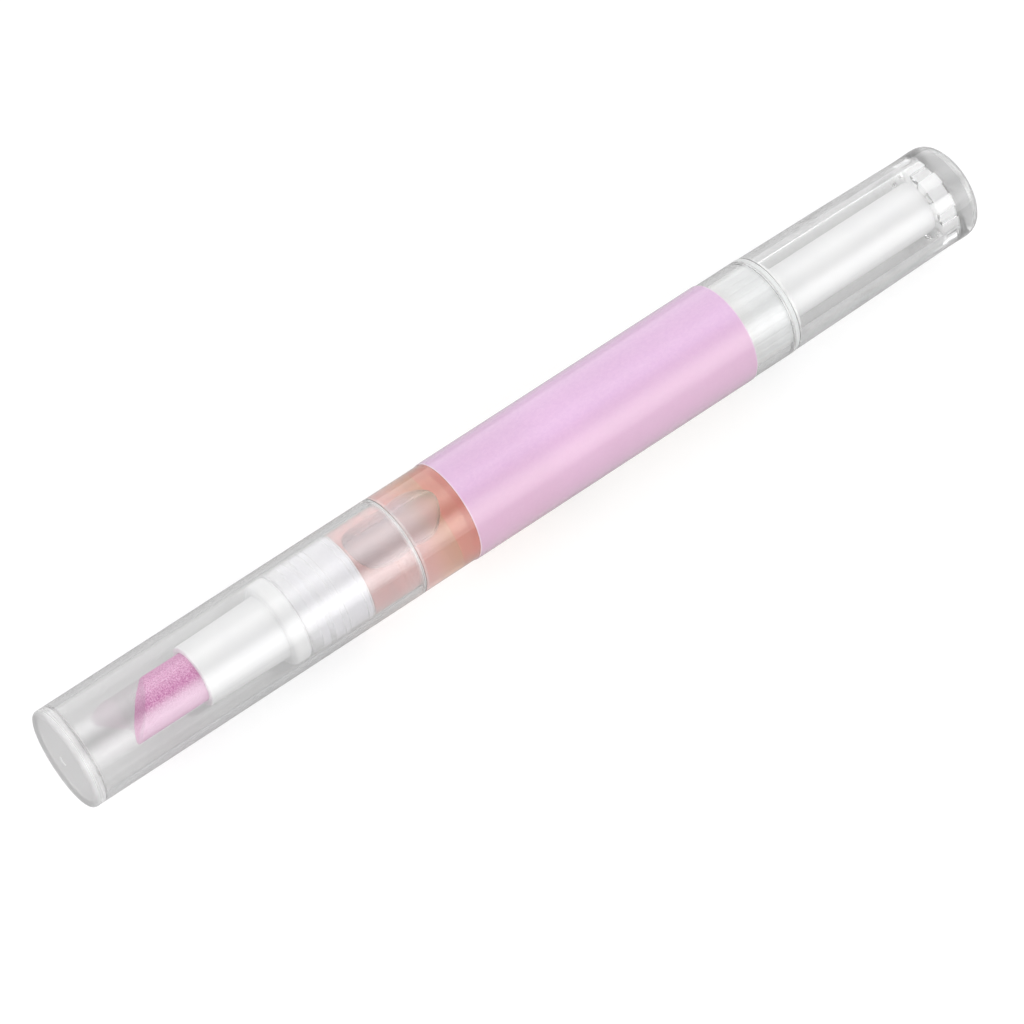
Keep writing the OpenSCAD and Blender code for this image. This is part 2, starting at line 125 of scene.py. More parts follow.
def blank_finish(name):
    """New node material: returns it, its nodes, its links and its Principled shader."""
    finish = bpy.data.materials.new(name)
    finish.use_nodes = True
    nodes, links = finish.node_tree.nodes, finish.node_tree.links
    return finish, nodes, links, nodes["Principled BSDF"]


def grain(nodes, links, scale, detail=4.0, rough=0.5, stretch=(1, 1, 1)):
    """Noise over the piece in its own coordinates, scale in lumps per metre."""
    coords = nodes.new("ShaderNodeTexCoord")
    spread = nodes.new("ShaderNodeMapping")
    spread.inputs["Scale"].default_value = stretch
    noise = nodes.new("ShaderNodeTexNoise")
    noise.inputs["Scale"].default_value = scale
    noise.inputs["Detail"].default_value = detail
    noise.inputs["Roughness"].default_value = rough
    links.new(coords.outputs["Object"], spread.inputs["Vector"])
    links.new(spread.outputs["Vector"], noise.inputs["Vector"])
    return noise.outputs["Fac"]


def between(nodes, links, value, low, high, out_low, out_high):
    """Carries a value from one range to another, and no further than its ends."""
    reach = nodes.new("ShaderNodeMapRange")
    reach.inputs["From Min"].default_value = low
    reach.inputs["From Max"].default_value = high
    reach.inputs["To Min"].default_value = out_low
    reach.inputs["To Max"].default_value = out_high
    links.new(value, reach.inputs["Value"])
    return reach.outputs["Result"]


def raised(nodes, links, shader, height, distance, strength=1.0):
    """Bump on a shader from a height, with distance in metres."""
    bump = nodes.new("ShaderNodeBump")
    bump.inputs["Distance"].default_value = distance
    bump.inputs["Strength"].default_value = strength
    links.new(height, bump.inputs["Height"])
    links.new(bump.outputs["Normal"], shader.inputs["Normal"])


def reckon(nodes, links, operation, *values):
    """Output of a Math node. Each value is a number or another node's output."""
    step = nodes.new("ShaderNodeMath")
    step.operation = operation
    for socket, value in zip(step.inputs, values):
        if isinstance(value, bpy.types.NodeSocket):
            links.new(value, socket)
        else:
            socket.default_value = value
    return step.outputs[0]


def let_lamps_through(finish, nodes, links, shader, tint):
    """Clear pieces cast a pale shadow and don't darken what they cover: for lamp rays and
    for light bounced off matt surfaces, the shader gives way to a plain tint."""
    path = nodes.new("ShaderNodeLightPath")
    either = reckon(nodes, links, "MAXIMUM", path.outputs["Is Shadow Ray"],
                    path.outputs["Is Diffuse Ray"])
    clear = nodes.new("ShaderNodeBsdfTransparent")
    clear.inputs["Color"].default_value = tint
    mix = nodes.new("ShaderNodeMixShader")
    links.new(either, mix.inputs["Fac"])
    links.new(shader.outputs[0], mix.inputs[1])
    links.new(clear.outputs[0], mix.inputs[2])
    links.new(mix.outputs[0], nodes["Material Output"].inputs["Surface"])


def near_places(nodes, links, places):
    """1 at any of the places along the pen and halfway to its reach, and 0 from its reach
    on. Each of the places is a pair of place and reach in mm."""
    coords = nodes.new("ShaderNodeTexCoord")
    split = nodes.new("ShaderNodeSeparateXYZ")
    links.new(coords.outputs["Object"], split.inputs["Vector"])
    nearest = None
    for place, reach in places:
        gap = reckon(nodes, links, "SUBTRACT", split.outputs["X"], (place - pen_middle) / 1000)
        away = reckon(nodes, links, "ABSOLUTE", gap)
        share = reckon(nodes, links, "MULTIPLY", away, 1000 / reach)
        nearest = reckon(nodes, links, "MINIMUM", nearest, share) if nearest else share
    return between(nodes, links, nearest, 0.5, 1, 1, 0)


def clear_plastic(name, tint, shade, shine, haze, cloudy=(), clouding=0.5, coat=0.0):
    """Clear moulded plastic: light passes, tinted where it enters and leaves, less a share
    of haze that scatters it. Clouding is added to the haze near the cloudy places, pairs of
    place and reach in mm, where the walls are thick or the mould is matt. Fine handling
    marks vary how dull it is, between the two ends of shine."""
    finish, nodes, links, shader = blank_finish(name)
    shader.inputs["Base Color"].default_value = tint
    shader.inputs["Transmission Weight"].default_value = 1 - haze
    shader.inputs["IOR"].default_value = 1.49
    shader.inputs["Coat Weight"].default_value = coat
    shader.inputs["Coat Roughness"].default_value = 0.03
    shader.inputs["Coat IOR"].default_value = 1.7
    marks = grain(nodes, links, scale=900, detail=6, rough=0.6, stretch=(0.25, 1, 1))
    dull = between(nodes, links, marks, 0.35, 0.75, shine[0], shine[1])
    if cloudy:
        cloud = near_places(nodes, links, cloudy)
        links.new(between(nodes, links, cloud, 0, 1, 1 - haze, 1 - haze - clouding),
                  shader.inputs["Transmission Weight"])
        dull = reckon(nodes, links, "MULTIPLY_ADD", cloud, clouding * 0.6, dull)
    links.new(dull, shader.inputs["Roughness"])
    let_lamps_through(finish, nodes, links, shader, shade)
    return finish


neck_r, bead_r, bore_r = 5.3, 5.41, 4.6
barrel_front_r, barrel_rear_r = 6.26, 6.43
neck_place, shoulder_place, barrel_end_place = 29.77, 45.08, 99.7
bead_places, bead_run, bead_round = (34.47, 37.67), 0.7, 0.3
seat_r, seat_place = 5.5, 93.3

bead_corners = [(bead + offset, r, bead_round) for bead in bead_places
                for offset, r in ((-bead_run, neck_r), (0.0, bead_r), (bead_run, neck_r))]
barrel = turned("clear_barrel", [
    (neck_place, bore_r, 0.06), (neck_place, neck_r, 0.2), *bead_corners,
    (shoulder_place, neck_r, 0.08), (shoulder_place, barrel_front_r, 0.07),
    (barrel_end_place, barrel_rear_r, 0.12), (barrel_end_place, seat_r, 0.05),
    (seat_place, seat_r, 0.05), (seat_place, bore_r, 0.05)], hollow=True)
barrel_clear = clear_plastic("clear barrel plastic", paint(252, 252, 252), paint(253, 253, 253),
                             shine=(0.015, 0.025), haze=0.02,
                             cloudy=((30.5, 9.0), (shoulder_place, 0.4)), clouding=0.25,
                             coat=0.8)
barrel.data.materials.append(barrel_clear)
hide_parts("barrel")
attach(barrel, "body")

# SEAL PLUG
# A white stopper with a snap ring, pressed into the barrel's mouth, with a fine duct
# down its middle. Soft polythene, and the oil wets it, so it meets the bore all round
# and shows through the neck without an air gap.

plug_r, plug_slim_r = 4.61, 4.3
plug_front, plug_ring, plug_groove, plug_body, plug_rear = 29.79, 31.29, 32.39, 32.99, 38.39
duct_r, socket_r, socket_end = 1.2, 3.22, 35.57


def blended(nodes, links, share, first, second):
    """Colour that goes from the first to the second as the share goes from 0 to 1. Each is
    a colour or another node's output."""
    mix = nodes.new("ShaderNodeMix")
    mix.data_type = "RGBA"
    links.new(share, mix.inputs["Factor"])
    for socket, colour in ((mix.inputs["A"], first), (mix.inputs["B"], second)):
        if isinstance(colour, bpy.types.NodeSocket):
            links.new(colour, socket)
        else:
            socket.default_value = colour
    return mix.outputs["Result"]


def moulded_plastic(name, colour, shade, shine, depth=0.0, spread=0.0008):
    """Opaque moulded plastic: the colour drifts to a slightly darker one in broad soft
    patches, a fine grain varies the shine, and depth is the share of light that spreads
    under the skin, by spread metres."""
    finish, nodes, links, shader = blank_finish(name)
    patches = grain(nodes, links, scale=260, detail=2, rough=0.4)
    shaded = between(nodes, links, patches, 0.4, 0.7, 0, 1)
    links.new(blended(nodes, links, shaded, colour, shade), shader.inputs["Base Color"])
    skin_grain = grain(nodes, links, scale=5000, detail=3, rough=0.6)
    links.new(between(nodes, links, skin_grain, 0.3, 0.7, shine[0], shine[1]),
              shader.inputs["Roughness"])
    raised(nodes, links, shader, skin_grain, distance=0.00001, strength=0.25)
    shader.inputs["Subsurface Weight"].default_value = depth
    shader.inputs["Subsurface Scale"].default_value = spread
    shader.inputs["Subsurface Radius"].default_value = (1, 1, 1)
    return finish


plug = turned("seal_plug_white", [
    (plug_front, socket_r, 0.08), (plug_front, plug_slim_r, 0.12),
    (plug_ring, plug_slim_r, 0.05), (plug_ring, plug_r, 0.12),
    (plug_groove, plug_r, 0.12), (plug_groove, plug_slim_r, 0.05),
    (plug_body, plug_slim_r, 0.05), (plug_body, plug_r, 0.12),
    (plug_rear, plug_r, 0.2), (plug_rear, duct_r, 0.1),
    (socket_end, duct_r, 0.05), (socket_end, socket_r, 0.05)], hollow=True)
plug_white = moulded_plastic("oily white polythene", paint(241, 239, 245), paint(237, 235, 242),
                             shine=(0.42, 0.56), depth=0.2)
plug.data.materials.append(plug_white)
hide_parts("seal_plug")
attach(plug, "body")

# NIB HOLDER
# The white nozzle that grips the felt: it tapers out to a round flange that stops
# against the barrel's mouth, and a spigot behind it is pressed into the plug.

mouth_place, flange_front, flange_rear, spigot_end, nib_seat = 17.15, 27.65, 29.75, 35.55, 26.62
mouth_r, nozzle_r, flange_r, spigot_r = 3.8, 4.0, 5.2, 3.2
nib_hole_r, stem_hole_r = 3.07, 1.62

holder = turned("nib_holder_white", [
    (mouth_place, nib_hole_r, 0.08), (mouth_place, mouth_r, 0.15),
    (flange_front, nozzle_r, 0.12), (flange_front, flange_r, 0.5),
    (flange_rear, flange_r, 0.5), (flange_rear, spigot_r, 0.08),
    (spigot_end, spigot_r, 0.1), (spigot_end, stem_hole_r, 0.1),
    (nib_seat, stem_hole_r, 0.05), (nib_seat, nib_hole_r, 0.05)], hollow=True)
white_soft = moulded_plastic("white polythene", paint(247, 247, 247), paint(243, 243, 244),
                             shine=(0.42, 0.56), depth=0.2)
holder.data.materials.append(white_soft)
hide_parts("nib_holder")
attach(holder, "body")

# NIB
# A round block of pressed pink felt, cut on a slant, with a stem that draws oil out of
# the plug's duct. Fibres stand up a little on the cut and give the skin a fine grain.
# Its front is painted paler: a painted highlight for the cap's reflection of the low soft box.

nib_r, nib_long, nib_slant, nib_rear = 3.05, 8.0, 4.2, 26.6
nib_edge_width, nib_edge_depth = 0.93, 0.22   # where the cut's rounded edge starts, and its fall
stem_r, stem_end = 1.6, 32.65
nib_turn = np.radians(61.5 + 180)   # the long corner's angle, from straight up towards the back
felt_pink, felt_rose, felt_pale = paint(226, 140, 196), paint(192, 86, 156), paint(250, 196, 232)
# pale colour painted down the felt's front: a painted highlight for the cap's reflection of the
# soft box
felt_painted_highlight = paint(236, 205, 226)


def slant_cut(angles, depths, widths):
    """Rows of a round block with a slanted end. A point at width w of the radius lies at
    the cut plane's place there, long corner + slant (1 - w cos(angle from the corner)) / 2,
    plus its depth behind the plane; lumps of a few sines make the pressed edge uneven."""
    away = angles - nib_turn
    plane = nib_long + nib_slant * (1 - widths[:, None] * np.cos(away)) / 2
    lumps = 0.02 * (np.sin(7 * away + 1) + np.sin(12 * away) * np.sin(5 * away + 2))
    place = plane + depths[:, None] + lumps * widths[:, None]
    radius = nib_r * widths[:, None] * (1 - 0.004 * np.sin(9 * away + depths[:, None] * 3))
    return np.stack([place, radius * np.sin(angles), radius * np.cos(angles)], -1)


def down_front(nodes, links, start, full):
    """0 to 1 from start to full, both in mm from the pen's middle plane to its front."""
    coords = nodes.new("ShaderNodeTexCoord")
    split = nodes.new("ShaderNodeSeparateXYZ")
    links.new(coords.outputs["Object"], split.inputs["Vector"])
    return between(nodes, links, split.outputs["Y"], -full / 1000, -start / 1000, 1, 0)


nib_angles = np.linspace(0, 2 * np.pi, 160, endpoint=False)
rounding = np.linspace(0, np.pi / 2, 7)
nib_widths = np.concatenate([np.linspace(0, 0.9, 12),
                             nib_edge_width + (1 - nib_edge_width) * np.sin(rounding)])
nib_depths = np.concatenate([np.zeros(12), nib_edge_depth * (1 - np.cos(rounding))])
cut_rows = slant_cut(nib_angles, nib_depths, nib_widths)
down_side = np.linspace(0, 1, 30)[1:, None, None]
side_rows = cut_rows[-1] * np.array([0, 1, 1]) + np.array([1, 0, 0]) * (
    cut_rows[-1, :, :1] * (1 - down_side) + nib_rear * down_side)
stem_rows = ring_rows([nib_rear, stem_end, stem_end], [stem_r, stem_r, 0], nib_angles)
nib = skin("felt_nib", np.concatenate([cut_rows, side_rows, stem_rows]), crease=50)

felt, nodes, links, shader = blank_finish("pink felt")
fibres = grain(nodes, links, scale=6200, detail=5, rough=0.7)
tufts = grain(nodes, links, scale=1700, detail=4, rough=0.6)
tone = nodes.new("ShaderNodeValToRGB")
rose_end, pale_end = tone.color_ramp.elements
rose_end.position, rose_end.color = 0.4, felt_rose
pale_end.position, pale_end.color = 0.62, felt_pale
tone.color_ramp.elements.new(0.5).color = felt_pink
links.new(fibres, tone.inputs["Fac"])
matted = between(nodes, links, tufts, 0.4, 0.6, 0.0, 0.35)
# painted highlight: the felt's front is mixed halfway to a pale colour, standing for the cap's
# reflection of the low soft box
front = down_front(nodes, links, start=1.5, full=2.3)
painted_highlight_share = between(nodes, links, front, 0, 1, 0, 0.5)
softer = blended(nodes, links, matted, tone.outputs["Color"], felt_pink)
links.new(blended(nodes, links, painted_highlight_share, softer, felt_painted_highlight), shader.inputs["Base Color"])
shader.inputs["Roughness"].default_value = 0.95
shader.inputs["Specular IOR Level"].default_value = 0.2
shader.inputs["Sheen Weight"].default_value = 0.25
shader.inputs["Sheen Roughness"].default_value = 0.5
shader.inputs["Sheen Tint"].default_value = felt_pale
raised(nodes, links, shader, fibres, distance=0.00012, strength=0.8)
nib.data.materials.append(felt)
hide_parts("nib")
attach(nib, "body")

# OIL
# Orange nail oil that fills the barrel from the plug to the piston, with one long air
# bubble that has risen to the top. It wets the bore, so its skin lies just in the wall,
# and its colour comes from the depth of oil that light passes. Near the label its skin is
# also painted more orange, standing for the deeper colour that light takes through the
# oil there, and the bubble's skin is painted a cool grey, a painted shade over the oil
# seen through it.

oil_r, oil_front, oil_rear = 4.62, 38.41, 64.28
bubble_front, bubble_rear = 38.7, 51.0
bubble_half_width, bubble_depth, bubble_film = 2.6, 3.0, 0.12


def air_bubble(along, around):
    """Bubble under the top of a round bore. At a share s of its length its half width is
    the widest times (1 - |2s-1|^4)^0.5, and its depth goes the same way. Across it, a
    point at angle a lies sideways by half width cos a, on the bore's arc less half the
    depth times 1 - sin a. Slow sines make the outline waver, as a creeping bubble's does."""
    s, a = np.meshgrid(along, around, indexing="ij")
    full = np.clip(1 - np.abs(2 * s - 1) ** 4, 0, 1) ** 0.5
    waver = 1 + 0.05 * np.sin(7 * s + 1) + 0.02 * np.sin(17 * s + 1)
    y = bubble_half_width * full * waver * np.cos(a)
    roof = np.sqrt((bore_r - bubble_film) ** 2 - y ** 2)
    z = roof - bubble_depth * full ** 1.3 * (1 - np.sin(a)) / 2
    return np.stack([bubble_front + (bubble_rear - bubble_front) * s, y, z], -1)


oil_profile = softened([(oil_front, 0, 0), (oil_front, oil_r, 0.15), (oil_rear, oil_r, 0.15),
                        (oil_rear, 0, 0)])
oil_body = skin("orange_oil", ring_rows(oil_profile[:, 0], oil_profile[:, 1],
                                        np.linspace(0, 2 * np.pi, 192, endpoint=False)))
ease = (1 - np.cos(np.linspace(0, np.pi, 61))) / 2
bubble_angles = np.linspace(0, 2 * np.pi, 96, endpoint=False)
bubble = skin("bubble", air_bubble(ease, bubble_angles), crease=180)
bubble.data.attributes.new("air", "FLOAT", "POINT")
bubble.data.attributes["air"].data.foreach_set("value", np.ones(len(bubble.data.vertices)))
with bpy.context.temp_override(active_object=oil_body,
                               selected_editable_objects=[oil_body, bubble]):
    bpy.ops.object.join()

oil_finish, nodes, links, shader = blank_finish("orange nail oil")
# the second colour is a deeper orange painted on the oil near the label, as painted light, and the
# third a cool grey painted on the bubble as shade
rose_oil, orange_oil, bubble_painted_shade = paint(255, 230, 236), paint(255, 222, 190), paint(232, 250, 255)
# painted light: 1 near the label, where the oil's skin is painted more orange
painted_warmth = near_places(nodes, links, ((54.0, 7.0),))
air = nodes.new("ShaderNodeAttribute")
air.attribute_name = "air"
oil_colour = blended(nodes, links, painted_warmth, rose_oil, orange_oil)
# painted shade: the bubble's skin takes a cool grey that darkens and greys the oil seen through it
links.new(blended(nodes, links, air.outputs["Fac"], oil_colour, bubble_painted_shade),
          shader.inputs["Base Color"])
links.new(between(nodes, links, air.outputs["Fac"], 0, 1, 0.03, 0.32),
          shader.inputs["Roughness"])
shader.inputs["Transmission Weight"].default_value = 0.92
shader.inputs["IOR"].default_value = 1.47
oil_depth = nodes.new("ShaderNodeVolumeAbsorption")
oil_depth.inputs["Color"].default_value = (0.96, 0.42, 0.24, 1)
oil_depth.inputs["Density"].default_value = 70
links.new(oil_depth.outputs[0], nodes["Material Output"].inputs["Volume"])
let_lamps_through(oil_finish, nodes, links, shader, (1, 1, 1, 1))
oil_body.data.materials.append(oil_finish)
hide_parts("oil")
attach(oil_body, "body")
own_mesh(oil_body)

# PISTON AND SCREW ROD
# Both are moulded in white plastic. The piston's two lips wipe the bore; the rod's head
# is snapped into it, and its thread runs back through the drive nut into the knob.

white_hard = moulded_plastic("white moulded plastic", paint(245, 245, 245), paint(241, 241, 242),
                             shine=(0.22, 0.32))
for name in ("piston", "screw_rod"):
    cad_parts[name].data.materials.clear()
    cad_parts[name].data.materials.append(white_hard)

# DRIVE NUT
# The ribbed bush in the barrel's rear end that the rod screws through, with a flange
# that closes the barrel and a toothed cup for the click ring. Milky polypropylene that
# lets the white core behind it show, pressed into its seat by its ribs.

rib_count, rib_root_r, rib_top_r, rib_high, rib_width, rib_flank = 36, 5.42, 5.48, 0.06, 0.42, 0.05
tooth_count, tooth_r, tooth_deep, tooth_ramp = 16, 4.72, 0.37, 0.96
nut_front, nut_flange, nut_rear, nut_flange_r, nut_bevel = 93.32, 99.72, 100.32, 6.43, 0.04
nut_bore_r, nut_nose_r, nut_heel_r = 2.38, 5.25, 5.32
cup_floor, snap_place, groove_end, snap_hole_r, groove_r = 97.92, 97.12, 95.92, 3.15, 3.5

nut_columns = np.linspace(0, 2 * np.pi, 16 * rib_count, endpoint=False)
turn_share = nut_columns / (2 * np.pi)
# A rib is as high as its flanks allow, by the distance from its middle along the rim. A
# tooth rises evenly over most of its pitch and drops at once.
from_rib = np.abs((turn_share * rib_count + 0.5) % 1 - 0.5) * 2 * np.pi * rib_top_r / rib_count
nut_ribbed = rib_root_r + rib_high * np.clip((rib_width - from_rib) / 2 / rib_flank, 0, 1)
nut_toothed = tooth_r - tooth_deep * np.clip((turn_share * tooth_count % 1) / tooth_ramp, 0, 1)
nut_rows = [
    (nut_front, nut_bore_r), (nut_front, nut_nose_r), (nut_front + 0.08, nut_ribbed),
    (nut_flange - 0.06, nut_ribbed), (nut_flange, nut_heel_r),
    (nut_flange, nut_flange_r - nut_bevel), (nut_flange + nut_bevel, nut_flange_r),
    (nut_rear - nut_bevel, nut_flange_r), (nut_rear, nut_flange_r - nut_bevel),
    (nut_rear, nut_toothed), (cup_floor, nut_toothed), (cup_floor, snap_hole_r),
    (snap_place, snap_hole_r), (snap_place, groove_r), (groove_end, groove_r),
    (groove_end, nut_bore_r)]
nut = skin("drive_nut_milky", ring_rows(
    [place for place, r in nut_rows],
    [np.broadcast_to(r, nut_columns.shape) for place, r in nut_rows], nut_columns), hollow=True)
milky = clear_plastic("milky polypropylene", paint(243, 244, 244), paint(238, 239, 239),
                      shine=(0.3, 0.4), haze=0.75)
nut.data.materials.append(milky)
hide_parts("drive_nut")
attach(nut, "body")

# CLICK RING
# A springy ring with three arms, pushed over the flats of the core's neck, whose tips
# tick past the nut's teeth. It is moulded in the same milky plastic as the nut.

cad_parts["click_ring"].data.materials.clear()
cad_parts["click_ring"].data.materials.append(milky)

# KNOB CORE
# The white tube in the knob: a snap neck that turns in the nut, a collar at the knob's
# mouth, and a notched head at the rear that the clear knob is keyed into. Its bore has
# two flats, so it turns the rod. Glossy white styrene.

core_r, head_r, notch_count, notch_w = 3.35, 4.53, 10, 1.35
head_place, core_rear, notch_floor = 124.0, 126.6, 3.93
core_front, snap_end, collar_front, collar_rear = 96.04, 97.0, 100.52, 101.42
core_neck_r, core_snap_r, core_bore_r, core_flat = 3.1, 3.4, 2.38, 1.53
head_bevel, head_step = 0.08, 0.06
notch_turn = np.radians(180 + 7.6)   # the first notch's angle, from straight up towards the back


def notched(outer, floor, width, columns=24):
    """Outline of a ring with straight-sided notches, as radii and angles. Each notch takes
    the first third of its columns: down its wall at half the width from its middle line,
    across the floor, and up the other wall; the rest follow the outer arc."""
    pitch = 2 * np.pi / notch_count
    top, foot = np.arcsin(width / 2 / outer), np.arcsin(width / 2 / floor)
    across = np.linspace(-foot, foot, columns // 3)
    land = np.linspace(top, pitch - top, columns - columns // 3)
    angle = np.concatenate([across, land])
    radius = np.concatenate([np.full(len(across), floor), np.full(len(land), outer)])
    starts = notch_turn + pitch * np.arange(notch_count)[:, None]
    return np.tile(radius, notch_count), (starts + angle).ravel()


# Rows without notches have evenly spaced columns, which start level with the notched
# ones. The bore is round, cut by a flat above and one below. The last corner isn't kept:
# it gives the first one a side to be rounded from.
head_radii, head_angles = notched(head_r, notch_floor, notch_w)
even = (notch_turn + 2 * np.pi * np.arange(len(head_radii)) / len(head_radii)
        - np.pi / notch_count / 3)
core_bore = np.minimum(core_bore_r, core_flat / np.maximum(np.abs(np.cos(even)), 1e-6))
core_profile = softened([
    (core_front, core_neck_r, 0.05), (core_front, core_snap_r, 0.12),
    (snap_end, core_snap_r, 0.12), (snap_end, core_neck_r, 0.03),
    (collar_front, core_neck_r, 0.03), (collar_front, head_r, 0.12),
    (collar_rear, head_r, 0.12), (collar_rear, core_r, 0.1),
    (head_place, core_r, 0.0), (110.0, 2.0, 0.0)])[:-1]
core_grid = np.concatenate([
    ring_rows([core_front], [core_bore], even),
    ring_rows(core_profile[:, 0], core_profile[:, 1], even),
    ring_rows([head_place + 0.02], [head_radii - head_step], head_angles),
    ring_rows([head_place + head_bevel], [head_radii], head_angles),
    ring_rows([core_rear - head_bevel], [head_radii], head_angles),
    ring_rows([core_rear], [head_radii - head_step], head_angles),
    ring_rows([core_rear], [core_neck_r], even),
    ring_rows([core_rear], [core_bore], even)])
core = skin("knob_core_white", core_grid, hollow=True)
white_glow = moulded_plastic("white styrene", paint(245, 245, 245), paint(241, 241, 242),
                             shine=(0.4, 0.55), depth=0.8, spread=0.002)
core.data.materials.append(white_glow)
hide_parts("knob_core")
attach(core, "knob")

# KNOB SHELL
# The thick clear knob, drawn in to a waist and swollen again at its rounded end. Its
# bore stands clear of the core, and its keys sit in the notches of the core's head. Clear
# styrene with a polished skin, so its walls throw bright and dark lines along it.

knob_mouth, knob_mouth_r, knob_bore_r = 100.4, 6.38, 4.55
knob_end, knob_end_r, seat_gap, seat_end_r = 129.52, 5.9, 0.02, 3.0
knob_side = ((112.3, 6.27, 2.5), (125.12, 6.1, 1.2), (128.0, 6.17, 0.4))   # to the waist and out

# As in the core, the last corner isn't kept.
shell_profile = softened([
    (knob_mouth, knob_bore_r, 0.05), (knob_mouth, knob_mouth_r, 0.08), *knob_side,
    (knob_end, knob_end_r, 1.0), (knob_end, 0.0, 0.0), (120.0, 0.0, 0.0)])[:-1]
seat_radii, seat_angles = notched(head_r + seat_gap, notch_floor + seat_gap,
                                  notch_w - 2 * seat_gap)
seat_rear = core_rear + seat_gap
shell_grid = np.concatenate([
    ring_rows(shell_profile[:, 0], shell_profile[:, 1], even),
    ring_rows([seat_rear, seat_rear], [0.0, seat_end_r], even),
    ring_rows([seat_rear], [seat_radii], seat_angles),
    ring_rows([head_place + 0.01], [seat_radii], seat_angles),
    ring_rows([head_place, head_place - 0.2, knob_mouth + 0.4], [knob_bore_r] * 3, even)])
shell = skin("clear_knob", shell_grid, hollow=True)
knob_clear = clear_plastic("clear knob plastic", paint(252, 252, 252), paint(253, 253, 253),
                           shine=(0.0, 0.02), haze=0.0,
                           cloudy=((knob_mouth, 0.4), (128.9, 1.0)), clouding=0.2, coat=0.5)
shell.data.materials.append(knob_clear)
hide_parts("knob_shell")
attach(shell, "knob")

# LABEL SLEEVE
# Lilac film printed all over and shrunk round the barrel, with its seam at the back.
# It has a satin skin, a faint mottle from the print and pale cut edges. Down its front it
# is painted a rosier, darker shade, standing for the warm highlight of the low soft box
# and the shade of its lower side.

film_front, film_rear, film_t, film_lift = 52.7, 93.7, 0.08, 0.02
film_lilac, film_rose = paint(238, 193, 233), paint(231, 184, 228)
# the first of these is a painted shade, rosier and darker, for the film's front side
film_painted_shade, film_edge = paint(230, 185, 211), paint(248, 220, 241)


def barrel_r_at(place):
    """Barrel's outer radius behind the shoulder, in proportion along its taper."""
    share = (place - shoulder_place) / (barrel_end_place - shoulder_place)
    return barrel_front_r + (barrel_rear_r - barrel_front_r) * share


film_front_r, film_rear_r = barrel_r_at(film_front) + film_lift, barrel_r_at(film_rear) + film_lift
sleeve = turned("lilac_sleeve", [
    (film_front, film_front_r, 0.0), (film_front, film_front_r + film_t, 0.03),
    (film_rear, film_rear_r + film_t, 0.03), (film_rear, film_rear_r, 0.0)],
    hollow=True, steps=256)
film, nodes, links, shader = blank_finish("lilac film")
mottle = grain(nodes, links, scale=2600, detail=6, rough=0.75, stretch=(0.7, 1, 1))
specks = grain(nodes, links, scale=4200, detail=3, rough=0.7)
lilac = between(nodes, links, mottle, 0.35, 0.65, 0, 1)
# painted shade: 0 to 0.7 down the film's front, the side that the low soft box lights
painted_warmth = between(nodes, links, down_front(nodes, links, start=2.2, full=4.5), 0, 1, 0, 0.7)
edge = near_places(nodes, links, ((film_front, 0.13), (film_rear, 0.13)))
print_and_painted_shade = blended(nodes, links, lilac, film_rose, film_lilac)
# the print's colour, mixed down the front towards the painted shade
print_and_painted_shade = blended(nodes, links, painted_warmth, print_and_painted_shade, film_painted_shade)
links.new(blended(nodes, links, edge, print_and_painted_shade, film_edge), shader.inputs["Base Color"])
links.new(between(nodes, links, specks, 0.3, 0.7, 0.16, 0.26), shader.inputs["Roughness"])
raised(nodes, links, shader, specks, distance=0.000012, strength=0.3)
shader.inputs["Coat Weight"].default_value = 1.0
shader.inputs["Coat Roughness"].default_value = 0.05
shader.inputs["Subsurface Weight"].default_value = 0.45
shader.inputs["Subsurface Scale"].default_value = 0.0004
shader.inputs["Subsurface Radius"].default_value = (1, 0.8, 0.95)
let_lamps_through(film, nodes, links, shader, (0.92, 0.88, 0.86, 1))
sleeve.data.materials.append(film)
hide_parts("label_sleeve")
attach(sleeve, "body")

# CAP
# The long clear cap, closed and rounded at its front, with the gate mark in the middle
# of its end. Thin-walled polypropylene, so it is greyer and softer than the barrel. It
# slides over the neck's beads up to the barrel's shoulder.

cap_rear, cap_end_r, cap_rear_r, cap_mouth_r = 45.0, 6.15, 6.28, 5.46
cap_floor, cap_floor_r = 1.6, 5.35
cap_grip = ((31.0, cap_mouth_r, 2.0), (24.0, 5.4, 2.0))   # where its bore widens for the beads
gate_deep, gate_foot_r, gate_rim_r = 0.15, 0.55, 0.65

cap = turned("clear_cap", [
    (gate_deep, 0, 0), (gate_deep, gate_foot_r, 0.05), (0.0, gate_rim_r, 0.05),
    (0.0, cap_end_r, 0.5), (cap_rear, cap_rear_r, 0.07), (cap_rear, cap_mouth_r, 0.1),
    *cap_grip, (cap_floor, cap_floor_r, 0.35), (cap_floor, 0, 0)], steps=224)
cap_clear = clear_plastic("clear polypropylene", paint(251, 251, 251), paint(252, 252, 252),
                          shine=(0.035, 0.045), haze=0.025,
                          cloudy=((0.2, 0.8), (cap_rear, 0.22)), clouding=0.4, coat=0.8)
cap.data.materials.append(cap_clear)
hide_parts("cap")
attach(cap, "cap")

# FLOOR, LIGHT AND CAMERA
# A plain white table in a studio: a strip light overhead, a dark gap that the camera
# looks through, and a low soft box in front. They run along the pen, so the world's
# brightness follows the angle round the pen's axis alone.

floor_half, floor_grey = 3, 0.36          # m, and the share of light that it sends back
floor_glow, floor_mirrored = 0.7, 0.36    # added to look white, and how much of it gloss shows

